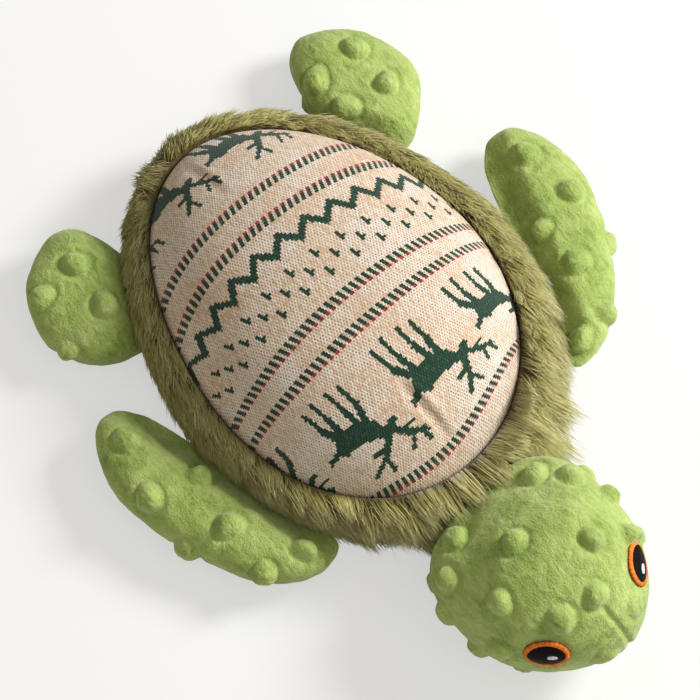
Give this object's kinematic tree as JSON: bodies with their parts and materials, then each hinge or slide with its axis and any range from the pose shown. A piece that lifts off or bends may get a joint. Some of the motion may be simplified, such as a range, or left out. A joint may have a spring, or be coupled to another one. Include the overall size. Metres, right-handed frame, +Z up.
{
  "type": "turtle dog toy",
  "caption": "Stuffed turtle dog toy: woven dome shell, long fur trim, dotted plush head and flippers that flex at their seams, and a squeaker inside.",
  "frame": {"origin": "on the floor under the middle of the body, at the centre of the belly", "axes": "+Z up, -Y towards the head, +X towards the turtle's own left"},
  "size_m": [0.223, 0.2823, 0.068],
  "materials": {
    "plush": "matte",
    "long_fur": "matte",
    "woven_jacquard": "matte",
    "orange_thread": "matte",
    "black_thread": "matte",
    "white_thread": "matte",
    "stuffing": "matte",
    "squeaker_vinyl": "matte",
    "whistle_plastic": "matte"
  },
  "bodies": {
    "torso": {"shell_cover": "woven_jacquard", "fur_trim": "long_fur", "belly_panel": "plush", "body_filling": "stuffing", "squeaker_bulb": "squeaker_vinyl", "squeaker_whistle": "whistle_plastic", "front_left_seam_tab": "plush", "front_right_seam_tab": "plush", "rear_left_seam_tab": "plush", "rear_right_seam_tab": "plush"},
    "neck": {"neck_filling": "plush"},
    "head": {"head_cover_left": "plush", "head_cover_right": "plush", "chin_panel": "plush", "head_filling": "stuffing", "eye_ring_left": "orange_thread", "eye_pupil_left": "black_thread", "eye_glint_left": "white_thread", "eye_ring_right": "orange_thread", "eye_pupil_right": "black_thread", "eye_glint_right": "white_thread"},
    "front_left_flipper": {"front_left_top_panel": "plush", "front_left_under_panel": "plush", "front_left_filling": "stuffing"},
    "front_right_flipper": {"front_right_top_panel": "plush", "front_right_under_panel": "plush", "front_right_filling": "stuffing"},
    "rear_left_flipper": {"rear_left_top_panel": "plush", "rear_left_under_panel": "plush", "rear_left_filling": "stuffing"},
    "rear_right_flipper": {"rear_right_top_panel": "plush", "rear_right_under_panel": "plush", "rear_right_filling": "stuffing"}
  },
  "joints": [
    {"name": "neck_turn", "type": "hinge", "parent": "torso", "child": "neck", "pos_m": [0, -0.088, 0.018], "axis": [0, 0, 1], "range_deg": [-15, 15], "stiffness_Nm_per_rad": 0.5},
    {"name": "neck_nod", "type": "hinge", "parent": "neck", "child": "head", "pos_m": [0, -0.088, 0.018], "axis": [-1, 0, 0], "range_deg": [-12, 15], "stiffness_Nm_per_rad": 0.5},
    {"name": "front_left_flap", "type": "hinge", "parent": "torso", "child": "front_left_flipper", "pos_m": [0.07225, -0.031, 0.014], "axis": [-0.2939, -0.9558, 0], "range_deg": [-20, 35], "stiffness_Nm_per_rad": 0.08},
    {"name": "front_right_flap", "type": "hinge", "parent": "torso", "child": "front_right_flipper", "pos_m": [-0.07225, -0.031, 0.014], "axis": [-0.2939, 0.9558, 0], "range_deg": [-20, 35], "stiffness_Nm_per_rad": 0.08},
    {"name": "rear_left_flap", "type": "hinge", "parent": "torso", "child": "rear_left_flipper", "pos_m": [0.0553, 0.057, 0.014], "axis": [0.5222, -0.8529, 0], "range_deg": [-20, 35], "stiffness_Nm_per_rad": 0.08},
    {"name": "rear_right_flap", "type": "hinge", "parent": "torso", "child": "rear_right_flipper", "pos_m": [-0.0553, 0.057, 0.014], "axis": [0.5222, 0.8529, 0], "range_deg": [-20, 35], "stiffness_Nm_per_rad": 0.08}
  ]
}
